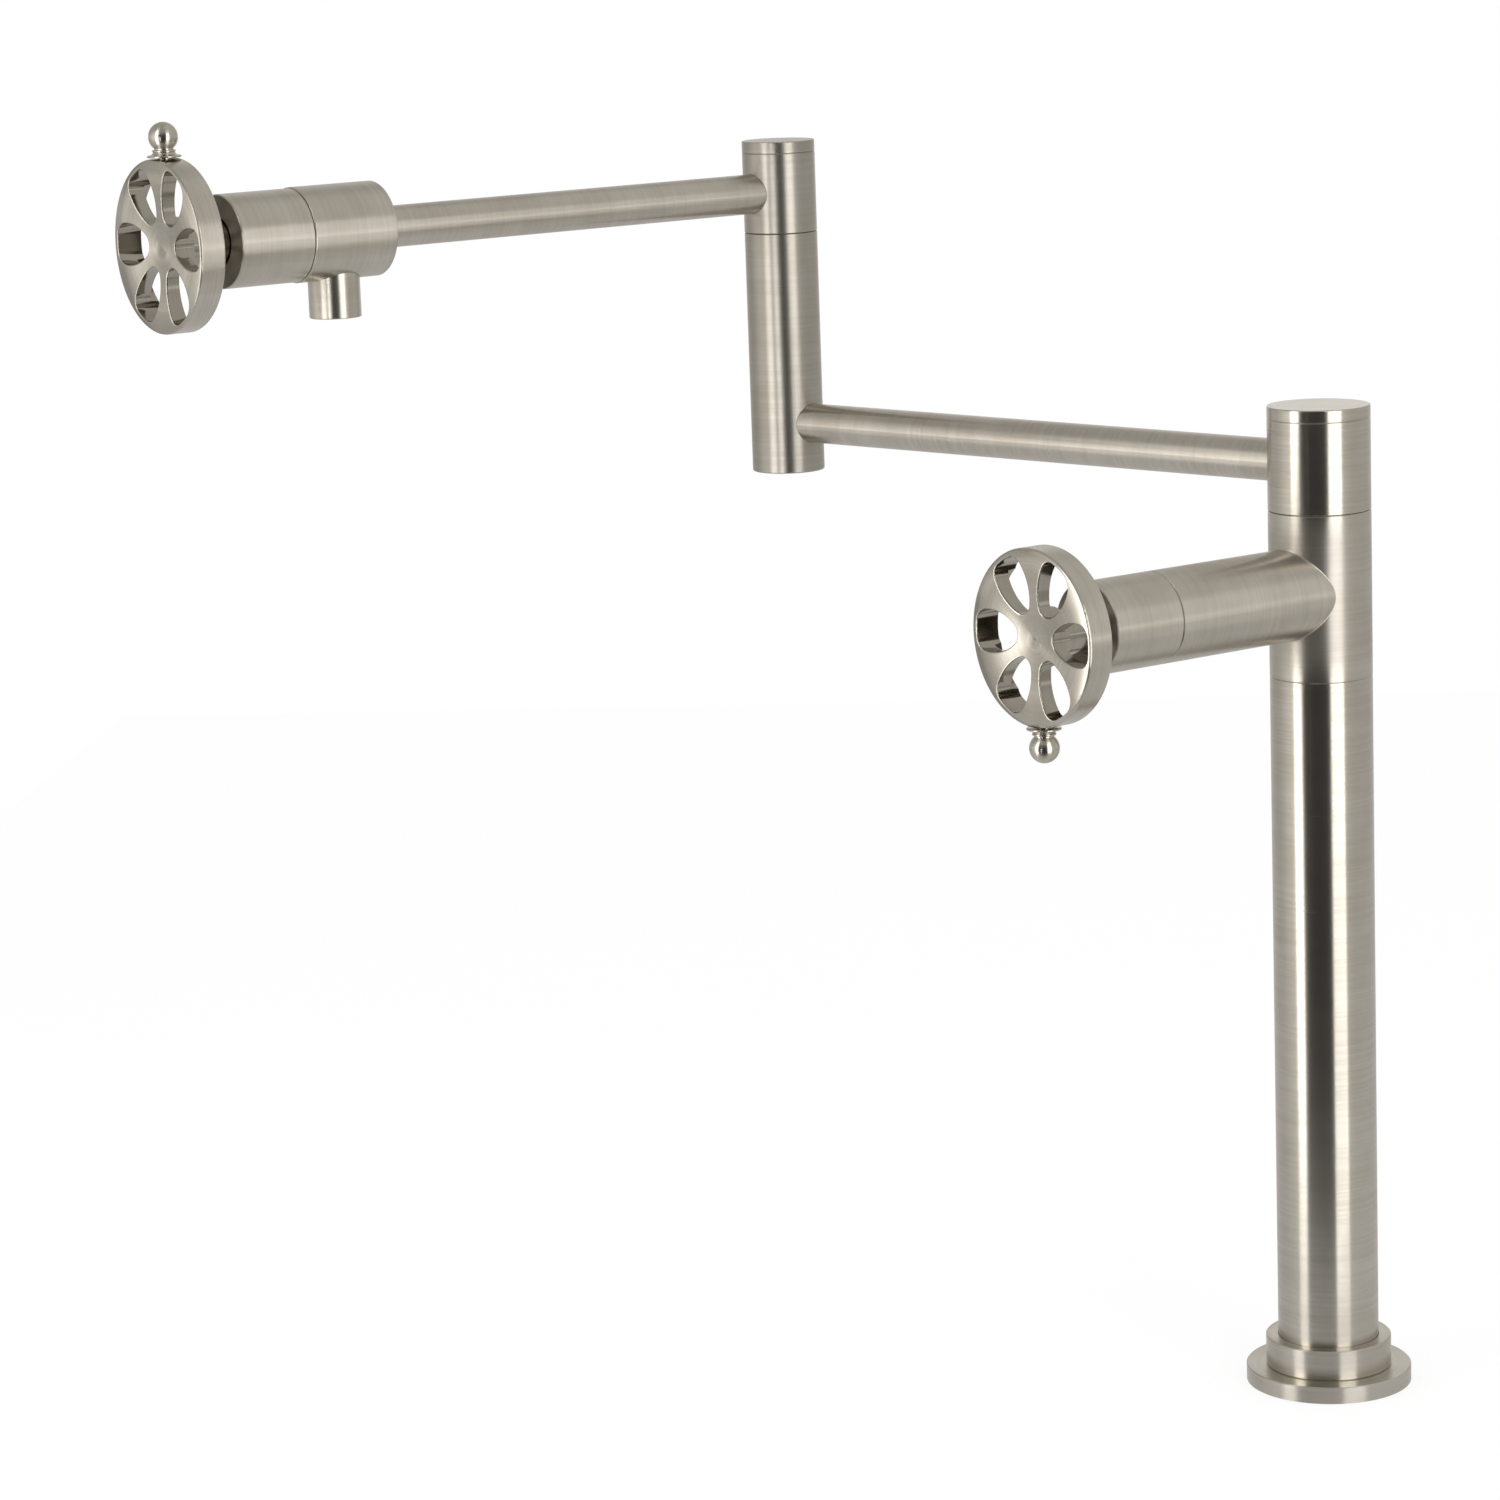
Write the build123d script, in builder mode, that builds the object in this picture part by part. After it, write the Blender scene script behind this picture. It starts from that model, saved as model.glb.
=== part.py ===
"""Deck mount pot filler: a column on a deck with two swivelling arms and two handwheel valves.

Millimetres, +Z up. The origin is on the column's axis in the plane of the deck. The column's
valve branch points along -Y, the lower arm lies near -X and the upper arm lies along -Y.
"""
import os
from math import cos, radians, sin, sqrt

from build123d import *

os.makedirs("parts", exist_ok=True)

# Column, from the deck up
column_r = 19.05
flange_r, flange_h = 31.3, 6.4
collar_r, collar_h = 23.75, 11.6
riser_top = 274.1
column_seam = 336.1
column_swivel_h = 34.2
cap_h = 4.7

# Valve branch of the column
branch_z = 306.0
branch_r = 17.0
branch_seam = 82.9

# Arms: direction of the lower one from +X about +Z, its length from column to elbow, the tube
lower_arm_turn = 189.85
lower_arm_l = 267.9
tube_r, tube_wall = 7.94, 1.2

# Elbow
elbow_r = 14.7
elbow_bottom = 333.4
elbow_seam = 430.5
elbow_swivel_h = 32.2

# Spout, from the elbow's axis outwards
spout_body_r, spout_sleeve_r = 18.0, 17.6
spout_body_start = 193.9
outlet_offset = 212.5
spout_seam = 229.8
outlet_r, outlet_drop = 9.9, 32.2

# Both valves, from the seam outwards
sleeve_l = 31.5
wheel_gap = 15.8
wheel_r, wheel_t = 32.2, 10.2

# Fits
seam_gap = 0.2
running_gap = 0.05
seat_gap = 0.05
edge_break = 0.25

# Places that follow
lower_arm_z = column_seam + column_swivel_h / 2
upper_arm_z = elbow_seam + elbow_swivel_h / 2
lower_arm_dir = Vector(cos(radians(lower_arm_turn)), sin(radians(lower_arm_turn)), 0)
elbow = lower_arm_dir * lower_arm_l
up = Vector(0, 0, 1)
out = Vector(0, -1, 0)
branch_seat = Vector(0, -branch_seam, branch_z)
spout_seat = Vector(elbow.X, elbow.Y - spout_seam, upper_arm_z)


def save(piece, name):
    """Label a finished piece and write it to its own file."""
    piece.label = name
    export_step(piece, f"parts/{name}.step")


def level(centre, height=0):
    """Horizontal plane on an axis, a height above a centre."""
    return Plane(origin=centre + up * height)


def upright(centre):
    """Section plane through a vertical axis: local X is the radius, local Y points up."""
    return Plane(origin=centre, x_dir=(1, 0, 0), z_dir=(0, -1, 0))


def outward(seat, distance=0):
    """Plane square to a valve's axis, a distance outwards from the valve's seam."""
    return Plane(origin=seat + out * distance, x_dir=(1, 0, 0), z_dir=out)


def lengthwise(seat):
    """Section plane through a valve's axis: local X is the radius, local Y points outwards."""
    return Plane(origin=seat, x_dir=(1, 0, 0), z_dir=(0, 0, -1))


def turned(section_plane, *outline):
    """Turn a closed outline of (radius, distance) points about the section plane's local Y."""
    with BuildPart() as piece:
        with BuildSketch(section_plane):
            with BuildLine():
                Polyline(*outline, close=True)
            make_face()
        revolve(axis=Axis(section_plane.origin, section_plane.y_dir))
    return piece.part


def ring(plane, outer_r, inner_r, height):
    """Flat ring that stands on a plane."""
    with BuildPart() as piece:
        with BuildSketch(plane):
            Circle(outer_r)
            Circle(inner_r, mode=Mode.SUBTRACT)
        extrude(amount=height)
    return piece.part


def rubber_ring(section_plane, inner_r, outer_r, low, high):
    """Rubber ring pressed into its groove: flat where it bears, with broken corners."""
    corner = 0.3 * min(high - low, outer_r - inner_r)
    return turned(
        section_plane,
        (inner_r, low + corner), (inner_r + corner, low), (outer_r - corner, low),
        (outer_r, low + corner), (outer_r, high - corner), (outer_r - corner, high),
        (inner_r + corner, high), (inner_r, high - corner),
    )


def arm_tube(start, direction, length):
    """Straight round tube along a direction."""
    with BuildPart() as tube:
        with BuildSketch(Plane(origin=start, z_dir=direction)):
            Circle(tube_r)
            Circle(tube_r - tube_wall, mode=Mode.SUBTRACT)
        extrude(amount=length)
    return tube.part


# Base flange: round foot with a groove below for the gasket
deck = Vector(0, 0, 0)
gasket_inner_r, gasket_outer_r, gasket_h = 23.5, 28.5, 1.6
adapter_r = 16.9
with BuildPart() as base_flange:
    with BuildSketch():
        Circle(flange_r)
        Circle(adapter_r + 0.1, mode=Mode.SUBTRACT)
    extrude(amount=flange_h)
    with BuildSketch():
        Circle(gasket_outer_r + seat_gap)
        Circle(gasket_inner_r - seat_gap, mode=Mode.SUBTRACT)
    extrude(amount=gasket_h, mode=Mode.SUBTRACT)
    chamfer(base_flange.edges().group_by(Axis.Z)[-1].sort_by(SortBy.LENGTH)[-1], 0.35)
base_flange.part.label = "base_flange"
export_step(base_flange.part, "parts/base_flange.step")

save(ring(level(deck), gasket_outer_r, gasket_inner_r, gasket_h), "base_gasket")

# Shank adapter: its shoulder clamps the flange, the deck shank screws into it from below
riser_bore_r = 16.0
shoulder_top = flange_h + 3.0
adapter_top = 30.0
shank_bore_r, shank_bore_l = 9.3, 14.0
supply_r, supply_bore_r, supply_socket_l = 6.0, 5.0, 8.0
with BuildPart() as shank_adapter:
    with BuildSketch():
        Circle(adapter_r)
    extrude(amount=flange_h)
    with BuildSketch(level(deck, flange_h)):
        Circle(column_r)
    extrude(amount=shoulder_top - flange_h)
    with BuildSketch(level(deck, shoulder_top)):
        Circle(riser_bore_r - seat_gap)
    extrude(amount=adapter_top - shoulder_top)
    Hole(radius=supply_bore_r - 0.5)
    with BuildSketch():
        Circle(shank_bore_r)
    extrude(amount=shank_bore_l, mode=Mode.SUBTRACT)
    with BuildSketch(level(deck, adapter_top)):
        Circle(supply_r + seat_gap)
    extrude(amount=-supply_socket_l, mode=Mode.SUBTRACT)
shank_adapter.part.label = "shank_adapter"
export_step(shank_adapter.part, "parts/shank_adapter.step")

# Collar ring: slides down the riser and hides the joint at its foot
with BuildPart() as base_collar:
    with BuildSketch(level(deck, flange_h)):
        Circle(collar_r)
        Circle(column_r + 0.15, mode=Mode.SUBTRACT)
    extrude(amount=collar_h)
    for end_edges in (base_collar.edges().group_by(Axis.Z)[0], base_collar.edges().group_by(Axis.Z)[-1]):
        chamfer(end_edges.sort_by(SortBy.LENGTH)[-1], 0.35)
base_collar.part.label = "base_collar"
export_step(base_collar.part, "parts/base_collar.step")

# Riser tube, screwed over the adapter below and over the valve body above
with BuildPart() as riser_tube:
    with BuildSketch(level(deck, shoulder_top)):
        Circle(column_r)
        Circle(riser_bore_r, mode=Mode.SUBTRACT)
    extrude(amount=riser_top - shoulder_top)
    chamfer(riser_tube.edges().group_by(Axis.Z)[-1].sort_by(SortBy.LENGTH)[-1], edge_break)
riser_tube.part.label = "riser_tube"
export_step(riser_tube.part, "parts/riser_tube.step")

# Supply tube inside the riser
body_spigot_l = 14.0
supply_bottom = adapter_top - supply_socket_l
supply_top = riser_top - body_spigot_l + supply_socket_l
save(ring(level(deck, supply_bottom), supply_r, supply_bore_r, supply_top - supply_bottom), "supply_tube")

# Cartridge pocket and threaded spigot that both valve bodies share, from the seam outwards
pocket_bottom, pocket_r = -24.4, 12.5
thread_start, thread_r = 2.0, 13.2
spigot_l, spigot_r = 12.0, 14.9
port_r = 3.5
post_socket_l = 9.0


def pocket(seat):
    """Hollow for the cartridge, open at the outer end."""
    return turned(
        lengthwise(seat),
        (0, pocket_bottom), (pocket_r, pocket_bottom), (pocket_r, thread_start),
        (thread_r, thread_start), (thread_r, spigot_l + 1), (0, spigot_l + 1),
    )


# Column valve body: water rises from the supply tube, runs out along the branch's middle to the
# cartridge, comes back through the upper passage and rises into the swivel post
column_post_r, column_foot_r = 10.0, 8.0
return_z, return_r = branch_z + 9.2, 2.8
rise_r = 4.5
drill_past = 0.5
joint_round = 0.5
branch_pocket = pocket(branch_seat)
with BuildPart() as valve_body:
    with BuildSketch(level(deck, riser_top)):
        Circle(column_r)
    extrude(amount=column_seam - riser_top)
    for end_edges in (valve_body.edges().group_by(Axis.Z)[0], valve_body.edges().group_by(Axis.Z)[-1]):
        chamfer(end_edges, edge_break)
    with BuildSketch(level(deck, riser_top)):
        Circle(riser_bore_r - seat_gap)
    extrude(amount=-body_spigot_l)
    with BuildSketch(outward(Vector(0, 0, branch_z))):
        Circle(branch_r)
    extrude(amount=branch_seam)
    fillet(valve_body.edges().filter_by(GeomType.BSPLINE), joint_round)
    chamfer(valve_body.edges().group_by(Axis.Y)[0], edge_break)
    with BuildSketch(outward(branch_seat)):
        Circle(spigot_r)
    extrude(amount=spigot_l)
    add(branch_pocket, mode=Mode.SUBTRACT)
    with BuildSketch(level(deck, riser_top - body_spigot_l)):
        Circle(supply_r + seat_gap)
    extrude(amount=supply_socket_l, mode=Mode.SUBTRACT)
    with BuildSketch(level(deck, supply_top)):
        Circle(rise_r)
    extrude(amount=branch_z + port_r + drill_past - supply_top, mode=Mode.SUBTRACT)
    for passage_z, passage_r in ((branch_z, port_r), (return_z, return_r)):
        with BuildSketch(outward(Vector(0, 0, passage_z))):
            Circle(passage_r)
        extrude(amount=branch_seam + pocket_bottom + drill_past, mode=Mode.SUBTRACT)
    with BuildSketch(level(deck, return_z - return_r - drill_past)):
        Circle(rise_r)
    extrude(amount=column_seam - return_z + return_r + drill_past, mode=Mode.SUBTRACT)
    with BuildSketch(level(deck, column_seam)):
        Circle(column_foot_r + seat_gap)
    extrude(amount=-post_socket_l, mode=Mode.SUBTRACT)
valve_body.part.label = "valve_body"
export_step(valve_body.part, "parts/valve_body.step")

# Swivel joints, as heights above the seam: lower washer, lower seal, water groove, upper seal,
# well floor, upper washer, retaining ring, cap
tube_seat = 4.5
washer_h, upper_washer_h = 2.2, 1.2
groove_half, groove_depth = 6.0, 2.6
land = 1.4
seal_w, seal_depth = 2.4, 1.6
clip_h = 1.2
cross_port_r = 2.6


def swivel(prefix, seam, height, body_r, post_r, foot_r, water_r, arm_dir):
    """Swivel joint on a vertical axis: post, seals, washers, retaining ring, body and cap.

    The post stands in the fixed piece whose top is at the seam. Water leaves it through cross
    ports into the groove round it, and from there into the socket of the arm's tube.
    """
    axis = Axis(seam, up)
    middle = height / 2
    seal_lows = (middle - groove_half - land - seal_w, middle + groove_half + land)
    well_floor = seal_lows[1] + seal_w + land
    washer_r = (post_r + body_r) / 2 - 0.4
    well_r = washer_r + 0.6
    clip_low = well_floor + upper_washer_h + seat_gap
    post_top = clip_low + clip_h + 1.0

    with BuildPart() as post:
        with BuildSketch(level(seam, 0.5 - post_socket_l)):
            Circle(foot_r)
        extrude(amount=post_socket_l - 0.5)
        with BuildSketch(level(seam)):
            Circle(post_r)
        extrude(amount=post_top)
        for low, tall in ((seal_lows[0], seal_w), (seal_lows[1], seal_w), (clip_low, clip_h)):
            with BuildSketch(level(seam, low)):
                Circle(post_r + 1)
                Circle(post_r - seal_depth, mode=Mode.SUBTRACT)
            extrude(amount=tall, mode=Mode.SUBTRACT)
        with BuildSketch(level(seam, -post_socket_l)):
            Circle(water_r)
        extrude(amount=post_socket_l + middle + cross_port_r + 1, mode=Mode.SUBTRACT)
        for across in (Vector(1, 0, 0), Vector(0, 1, 0)):
            with BuildSketch(Plane(origin=seam + up * middle, z_dir=across)):
                Circle(cross_port_r)
            extrude(amount=post_r + 1, both=True, mode=Mode.SUBTRACT)
    save(post.part, f"{prefix}_post")

    seals = [
        rubber_ring(upright(seam), post_r - seal_depth + 0.02, post_r + running_gap - 0.02,
                    low + 0.1, low + seal_w - 0.1)
        for low in seal_lows
    ]
    save(Compound(children=seals), f"{prefix}_o_rings")

    washers = [
        ring(level(seam, low), washer_r, post_r + 0.15, tall)
        for low, tall in ((0, washer_h), (well_floor + seat_gap, upper_washer_h))
    ]
    save(Compound(children=washers), f"{prefix}_washers")

    save(ring(level(seam, clip_low + 0.05), post_r + 2, post_r - seal_depth + 0.05, clip_h - 0.1),
         f"{prefix}_retaining_ring")

    bore_r = post_r + running_gap
    recess_top = washer_h + seat_gap
    with BuildPart() as body:
        with BuildSketch(upright(seam)):
            with BuildLine():
                Polyline(
                    (washer_r + 0.3, seam_gap), (body_r - edge_break, seam_gap),
                    (body_r, seam_gap + edge_break), (body_r, height - edge_break),
                    (body_r - edge_break, height), (well_r, height), (well_r, well_floor),
                    (bore_r, well_floor), (bore_r, middle + groove_half),
                    (bore_r + groove_depth, middle + groove_half),
                    (bore_r + groove_depth, middle - groove_half), (bore_r, middle - groove_half),
                    (bore_r, recess_top), (washer_r + 0.3, recess_top), close=True,
                )
            make_face()
        revolve(axis=axis)
        arm_root = seam + up * middle
        with BuildSketch(Plane(origin=arm_root + arm_dir * (body_r - tube_seat), z_dir=arm_dir)):
            Circle(tube_r + seat_gap)
        extrude(amount=2 * tube_seat, mode=Mode.SUBTRACT)
        with BuildSketch(Plane(origin=arm_root + arm_dir * post_r, z_dir=arm_dir)):
            Circle(tube_r - tube_wall - 1.5)
        extrude(amount=body_r - post_r, mode=Mode.SUBTRACT)
    save(body.part, f"{prefix}_swivel_body")

    with BuildPart() as cap:
        with BuildSketch(level(seam, height)):
            Circle(body_r)
        extrude(amount=cap_h)
        chamfer(cap.edges().group_by(Axis.Z)[0], edge_break)
        fillet(cap.edges().group_by(Axis.Z)[-1], 0.4)
        with BuildSketch(level(seam, height)):
            Circle(well_r - seat_gap)
            Circle(well_r - 1.6, mode=Mode.SUBTRACT)
        extrude(amount=(well_floor - height) * 0.45)
    save(cap.part, f"{prefix}_cap")


swivel("column", up * column_seam, column_swivel_h, column_r, column_post_r, column_foot_r, 5.5,
       lower_arm_dir)

# Lower arm tube, from the column's swivel body into the elbow's lower body
lower_tube_start = up * lower_arm_z + lower_arm_dir * (column_r - tube_seat)
lower_tube_l = lower_arm_l - column_r - elbow_r + 2 * tube_seat
save(arm_tube(lower_tube_start, lower_arm_dir, lower_tube_l), "lower_arm_tube")

# Elbow lower body: water enters from the side and rises along its middle into the elbow post
elbow_well_r, elbow_inlet_r = 5.0, 4.4
elbow_post_r, elbow_foot_r = 7.0, 5.5
elbow_inlet = elbow + up * lower_arm_z
with BuildPart() as elbow_lower_body:
    with BuildSketch(level(elbow, elbow_bottom)):
        Circle(elbow_r)
    extrude(amount=elbow_seam - elbow_bottom)
    chamfer(elbow_lower_body.edges().group_by(Axis.Z)[0], 0.4)
    chamfer(elbow_lower_body.edges().group_by(Axis.Z)[-1], edge_break)
    with BuildSketch(Plane(origin=elbow_inlet, z_dir=-lower_arm_dir)):
        Circle(elbow_inlet_r)
    extrude(amount=elbow_r, mode=Mode.SUBTRACT)
    with BuildSketch(Plane(origin=elbow_inlet - lower_arm_dir * (elbow_r - tube_seat), z_dir=-lower_arm_dir)):
        Circle(tube_r + seat_gap)
    extrude(amount=2 * tube_seat, mode=Mode.SUBTRACT)
    with BuildSketch(level(elbow, lower_arm_z - elbow_inlet_r - drill_past)):
        Circle(elbow_well_r)
    extrude(amount=elbow_seam - lower_arm_z + elbow_inlet_r + drill_past, mode=Mode.SUBTRACT)
    with BuildSketch(level(elbow, elbow_seam)):
        Circle(elbow_foot_r + seat_gap)
    extrude(amount=-post_socket_l, mode=Mode.SUBTRACT)
elbow_lower_body.part.label = "elbow_lower_body"
export_step(elbow_lower_body.part, "parts/elbow_lower_body.step")

swivel("elbow", elbow + up * elbow_seam, elbow_swivel_h, elbow_r, elbow_post_r, elbow_foot_r, 3.6,
       out)

# Upper arm tube, from the elbow's swivel body into the spout body
spout_socket_l = 7.5
upper_tube_start = elbow + up * upper_arm_z + out * (elbow_r - tube_seat)
upper_tube_l = spout_body_start + spout_socket_l - elbow_r + tube_seat
save(arm_tube(upper_tube_start, out, upper_tube_l), "upper_arm_tube")

# Spout body: the arm's tube feeds the cartridge head-on, the outlet leaves its pocket below
spout_inner = elbow + up * upper_arm_z + out * spout_body_start
outlet_bore_r = 8.2
outlet_top = upper_arm_z - pocket_r - 1.0
outlet_bottom = upper_arm_z - outlet_drop
outlet_axis = elbow + out * outlet_offset
spout_pocket = pocket(spout_seat)
with BuildPart() as spout_body:
    with BuildSketch(outward(spout_inner)):
        Circle(spout_body_r)
    extrude(amount=spout_seam - spout_body_start)
    fillet(spout_body.edges(), 0.45)
    with BuildSketch(outward(spout_seat)):
        Circle(spigot_r)
    extrude(amount=spigot_l)
    add(spout_pocket, mode=Mode.SUBTRACT)
    with BuildSketch(outward(spout_inner)):
        Circle(tube_r + seat_gap)
    extrude(amount=spout_socket_l, mode=Mode.SUBTRACT)
    with BuildSketch(outward(spout_inner, spout_socket_l)):
        Circle(port_r)
    port_l = spout_seam + pocket_bottom + drill_past - spout_body_start - spout_socket_l
    extrude(amount=port_l, mode=Mode.SUBTRACT)
    with BuildSketch(level(outlet_axis, outlet_top)):
        Circle(outlet_r + seat_gap)
    extrude(amount=-outlet_drop, mode=Mode.SUBTRACT)
    with BuildSketch(level(outlet_axis, outlet_top)):
        Circle(outlet_bore_r - 1.5)
    extrude(amount=pocket_r / 2, mode=Mode.SUBTRACT)
spout_body.part.label = "spout_body"
export_step(spout_body.part, "parts/spout_body.step")

# Outlet tube, with a step inside that holds the stream straightener
straightener_h = 6.0
step_h = 11.0
outlet_l = outlet_top - outlet_bottom
save(
    turned(
        upright(outlet_axis + up * outlet_bottom),
        (outlet_bore_r + 0.3, 0), (outlet_r - 0.3, 0), (outlet_r, 0.3), (outlet_r, outlet_l),
        (outlet_bore_r - 1.2, outlet_l), (outlet_bore_r - 1.2, step_h), (outlet_bore_r, step_h),
        (outlet_bore_r, 0.3),
    ),
    "spout_outlet",
)

# Stream straightener: a round plug with rings of small holes
straw_r = 0.9
with BuildPart() as stream_straightener:
    with BuildSketch(level(outlet_axis, outlet_bottom + step_h - straightener_h)):
        Circle(outlet_bore_r - seat_gap)
        Circle(straw_r, mode=Mode.SUBTRACT)
        for pitch_r, count in ((2.9, 6), (5.8, 12)):
            with PolarLocations(pitch_r, count):
                Circle(straw_r, mode=Mode.SUBTRACT)
    extrude(amount=straightener_h)
stream_straightener.part.label = "stream_straightener"
export_step(stream_straightener.part, "parts/stream_straightener.step")

# Quarter-turn cartridge, from the seam outwards
seal_h = 2.4
disc_r, disc_h = 8.0, 3.0
housing_r, housing_bore_r = 9.6, 8.1
housing_start = pocket_bottom + 1.2
stem_r, stem_end_r, stem_neck = 5.0, 4.0, 14.0
ring_groove_low, ring_groove_high, ring_groove_depth = -3.2, -0.8, 1.3
driver_h, stem_washer_h = 3.6, 1.5
cage_flange_h, nut_h = 2.5, 5.8
flat_place = 3.0

# Handwheel on the stem, from the seam outwards
wheel_back = sleeve_l + wheel_gap
wheel_front = wheel_back + wheel_t
wheel_middle = wheel_back + wheel_t / 2
hub_boss_r, hub_boss_start = 8.4, 22.0
hub_bore_end = wheel_back - 1.5
stem_tip = hub_bore_end - 0.5
screw_r, screw_place = 1.9, wheel_back - 8.0


def disc_with_windows(plane, window_turn):
    """Ceramic disc with two opposite windows, turned by an angle."""
    with BuildPart() as disc:
        with BuildSketch(plane):
            Circle(disc_r)
            with PolarLocations(4.3, 2, start_angle=window_turn):
                SlotOverall(6.4, 3.4, rotation=90, mode=Mode.SUBTRACT)
        extrude(amount=disc_h)
    return disc.part


def cartridge(prefix, seat, finial_side):
    """Outlet seal, two ceramic discs, stem with its washer and O-ring, housing and nut."""
    fixed_low = pocket_bottom + seal_h
    turning_low = fixed_low + disc_h + 0.03
    driver_low = turning_low + disc_h + 0.03
    shoulder = driver_low + driver_h
    housing_step = shoulder + stem_washer_h + 0.1
    flange_low = thread_start + seat_gap
    nut_low = flange_low + cage_flange_h

    save(ring(outward(seat, pocket_bottom), 6.4, 4.2, seal_h), f"{prefix}_outlet_seal")
    save(disc_with_windows(outward(seat, fixed_low), 0), f"{prefix}_fixed_disc")
    save(disc_with_windows(outward(seat, turning_low), 90), f"{prefix}_turning_disc")

    with BuildPart() as stem:
        with BuildSketch(lengthwise(seat)):
            with BuildLine():
                Polyline(
                    (0, driver_low), (disc_r - 0.1, driver_low), (disc_r - 0.1, shoulder),
                    (stem_r, shoulder), (stem_r, ring_groove_low),
                    (stem_r - ring_groove_depth, ring_groove_low),
                    (stem_r - ring_groove_depth, ring_groove_high), (stem_r, ring_groove_high),
                    (stem_r, stem_neck), (stem_end_r, stem_neck), (stem_end_r, stem_tip),
                    (0, stem_tip), close=True,
                )
            make_face()
        revolve(axis=Axis(seat, out))
        with BuildSketch(outward(seat, driver_low)):
            with PolarLocations(disc_r, 2, start_angle=90):
                Rectangle(2 * (disc_r - 3.2), 6.0, mode=Mode.ADD)
        extrude(amount=driver_h, mode=Mode.SUBTRACT)
        with BuildSketch(outward(seat, screw_place - 6)):
            with Locations((0, -finial_side * (flat_place + stem_end_r))):
                Rectangle(3 * stem_end_r, 2 * stem_end_r)
        extrude(amount=stem_tip, mode=Mode.SUBTRACT)
    save(stem.part, f"{prefix}_stem")

    save(ring(outward(seat, shoulder + 0.05), disc_r - 0.2, stem_r + 0.1, stem_washer_h),
         f"{prefix}_stem_washer")
    save(rubber_ring(lengthwise(seat), stem_r - ring_groove_depth + 0.02,
                     stem_r + running_gap - 0.02, ring_groove_low + 0.1, ring_groove_high - 0.1),
         f"{prefix}_stem_o_ring")

    with BuildPart() as housing:
        with BuildSketch(lengthwise(seat)):
            with BuildLine():
                Polyline(
                    (housing_bore_r, housing_start), (housing_r, housing_start),
                    (housing_r, flange_low), (thread_r - 0.1, flange_low),
                    (thread_r - 0.1, nut_low), (stem_r + running_gap, nut_low),
                    (stem_r + running_gap, housing_step), (housing_bore_r, housing_step),
                    close=True,
                )
            make_face()
        revolve(axis=Axis(seat, out))
        with BuildSketch(outward(seat, driver_low + 0.6)):
            with PolarLocations(housing_r, 2):
                Rectangle(6, 10)
        extrude(amount=driver_h, mode=Mode.SUBTRACT)
    save(housing.part, f"{prefix}_cartridge_housing")

    with BuildPart() as nut:
        with BuildSketch(outward(seat, nut_low)):
            Circle(thread_r - seat_gap)
            RegularPolygon(8.5, 6, mode=Mode.SUBTRACT)
        extrude(amount=nut_h)
    save(nut.part, f"{prefix}_retaining_nut")


def valve_sleeve(seat, sleeve_r):
    """Sleeve screwed over the body's spigot, bored at its end for the wheel's boss."""
    end_wall = hub_boss_start - 3
    boss_bore_r = hub_boss_r + 0.7
    return turned(
        lengthwise(seat),
        (spigot_r + seat_gap, seam_gap), (sleeve_r - edge_break, seam_gap),
        (sleeve_r, seam_gap + edge_break), (sleeve_r, sleeve_l - 0.4), (sleeve_r - 0.4, sleeve_l),
        (boss_bore_r, sleeve_l), (boss_bore_r, end_wall), (spigot_r + seat_gap, end_wall),
    )


# Handwheel openings: teardrops between the spokes, with their broad ends outwards
opening_count = 6
opening_tip = (7.7, 0)
opening_flank, mirrored_flank = (18.5, 7.1), (18.5, -7.1)
opening_corner, mirrored_corner = (29.5, 6.8), (29.5, -6.8)
opening_end = (30.3, 0)
tip_round, corner_round = 4.6, 5.0
with BuildSketch() as teardrop:
    with BuildLine():
        ThreePointArc(opening_tip, opening_flank, opening_corner)
        ThreePointArc(opening_corner, opening_end, mirrored_corner)
        ThreePointArc(mirrored_corner, mirrored_flank, opening_tip)
    make_face()
    fillet(teardrop.vertices().group_by(Axis.X)[-1], corner_round)
    fillet(teardrop.vertices().sort_by(Axis.X)[0], tip_round)

# Handwheel section: full rim, thinner webs, raised hub, shallow dish in front
rim_wall = 2.8
web_back = 3.3
hub_r = 10.5
dish_depth, dish_edge = 1.8, 0.8
rim_round, mouth_round = 0.6, 0.5
finial_stud_r, finial_stud_l, finial_foot_r = 1.5, 5.0, 2.6
foot_recess = 0.3


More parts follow.
